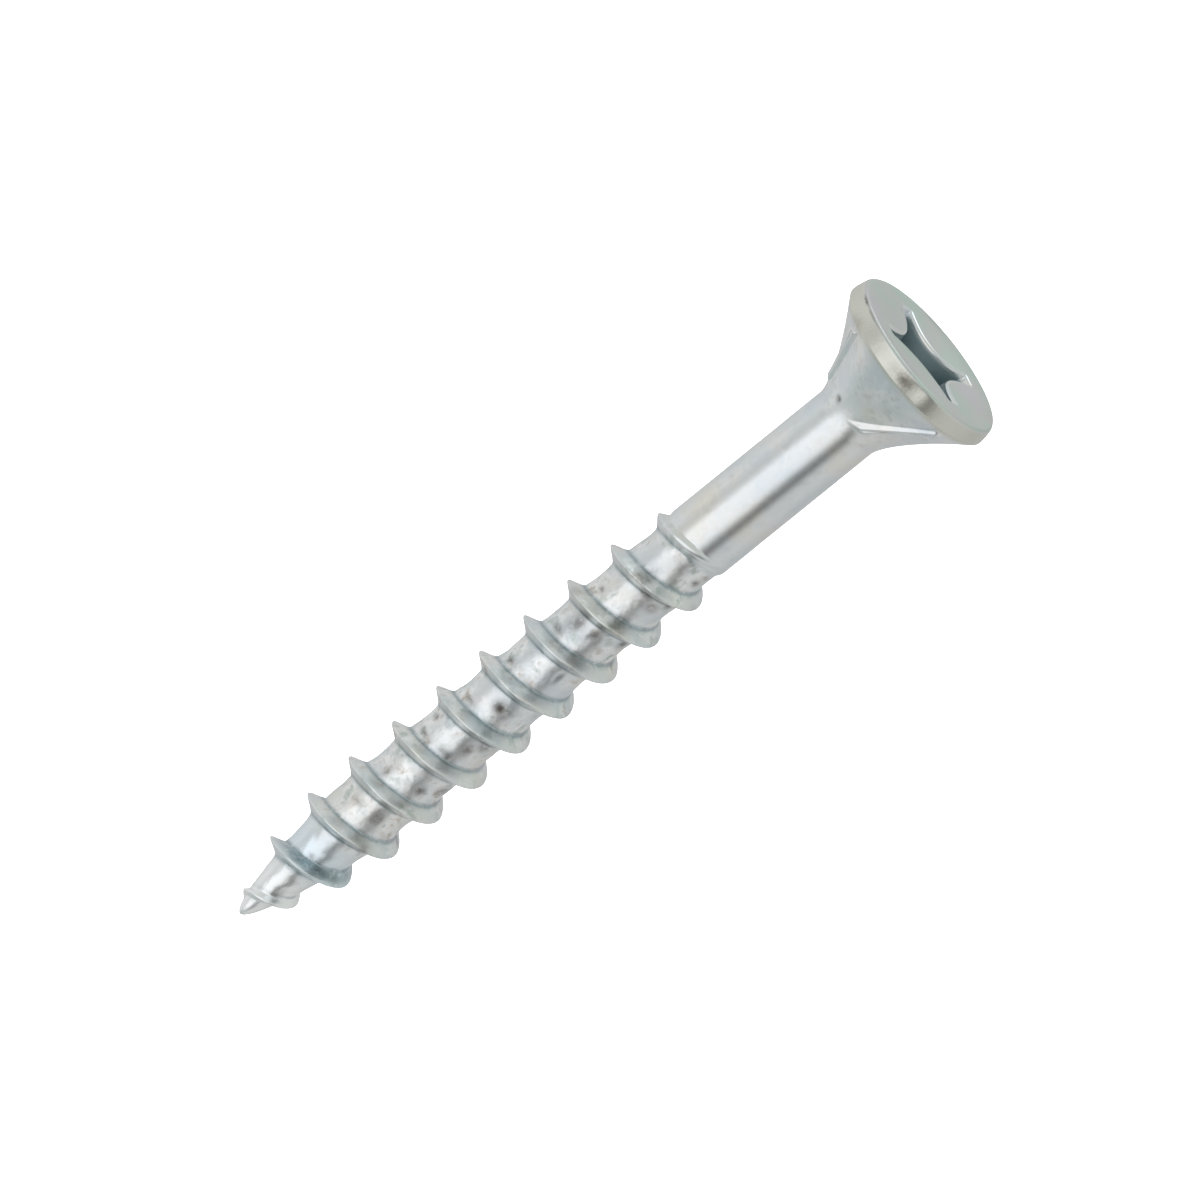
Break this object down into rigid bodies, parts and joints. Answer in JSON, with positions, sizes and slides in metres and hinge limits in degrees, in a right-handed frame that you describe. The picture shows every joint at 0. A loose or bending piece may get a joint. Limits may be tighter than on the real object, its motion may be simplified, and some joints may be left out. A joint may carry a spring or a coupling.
{
  "type": "wood screw",
  "caption": "Countersunk wood screw with a cross recess, ribs under the head, a plain shank, a coarse right-hand thread and a tapered point, in bright zinc-plated steel.",
  "frame": {"origin": "centre of the flat top of the head, the face that ends flush with the timber", "axes": "+Z along the screw's axis from the point towards the head; +X and +Y along the wings of the cross recess"},
  "size_m": [0.0082, 0.0082, 0.0381],
  "materials": {
    "zinc_plate": "bright clear-passivated zinc plate on steel, glossy, faintly blue-green and straw-tinted, with small rolling marks"
  },
  "bodies": {
    "root": {"head": "zinc_plate", "shank": "zinc_plate", "threaded_section": "zinc_plate", "point": "zinc_plate"}
  },
  "joints": []
}
